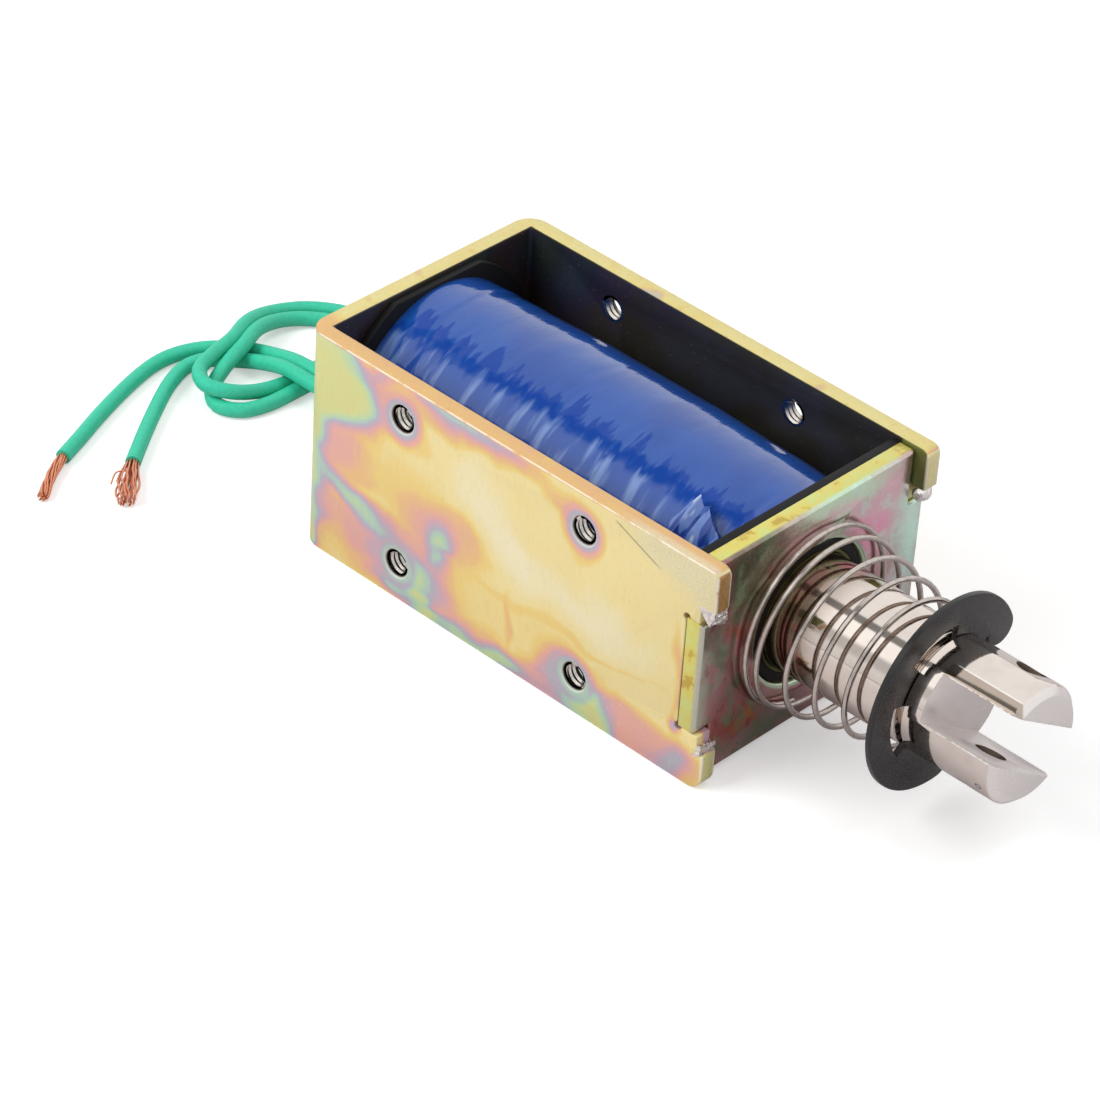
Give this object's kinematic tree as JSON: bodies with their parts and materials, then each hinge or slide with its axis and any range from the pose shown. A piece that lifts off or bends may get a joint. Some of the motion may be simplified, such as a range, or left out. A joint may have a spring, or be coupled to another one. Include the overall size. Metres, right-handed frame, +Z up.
{
  "type": "push pull solenoid",
  "caption": "Open-frame push pull solenoid with a taped coil, a spring-returned round plunger ending in a drilled clevis, an E-clip, tapped side holes and free leads.",
  "frame": {"origin": "bottom of the frame, in the middle of the length from the push rod's end to the clevis tip, leads left out", "axes": "+X along the plunger towards the clevis, +Z up from the frame's lower open side"},
  "size_m": [0.1448, 0.0606, 0.0325],
  "materials": {
    "zinc_steel": "semi-gloss",
    "zinc_plate": "semi-gloss",
    "black_plastic": "matte",
    "copper_winding": "satin",
    "blue_tape": "gloss",
    "brass_tube": "satin",
    "core_steel": "satin",
    "nylon": "matte",
    "spring_steel": "satin",
    "black_oxide": "satin",
    "nickel": "polished",
    "rod_steel": "polished",
    "black_rubber": "matte",
    "green_insulation": "satin",
    "bare_copper": "satin"
  },
  "bodies": {
    "body": {"u_frame": "zinc_steel", "front_plate": "zinc_plate", "bobbin": "black_plastic", "coil_winding": "copper_winding", "tape_wrap": "blue_tape", "tape_tail": "blue_tape", "guide_tube": "brass_tube", "fixed_core": "core_steel", "stop_washer": "nylon", "return_spring": "spring_steel", "lead_grommet": "black_rubber", "lead_wire_a": "green_insulation", "lead_wire_b": "green_insulation", "lead_strand_a": "bare_copper", "lead_strand_b": "bare_copper"},
    "clip": {"e_clip": "black_oxide"},
    "plunger": {"plunger": "nickel", "push_rod": "rod_steel"}
  },
  "joints": [
    {"name": "plunger_slide", "type": "slide", "parent": "body", "child": "clip", "axis": [-1, 0, 0], "range_m": [0, 0.01], "stiffness_N_per_m": 120, "springref_m": -0.004, "deforming": ["return_spring"]},
    {"name": "plunger_spin", "type": "hinge", "parent": "clip", "child": "plunger", "pos_m": [0.04785, 0, 0.01625], "axis": [1, 0, 0], "continuous": true}
  ]
}
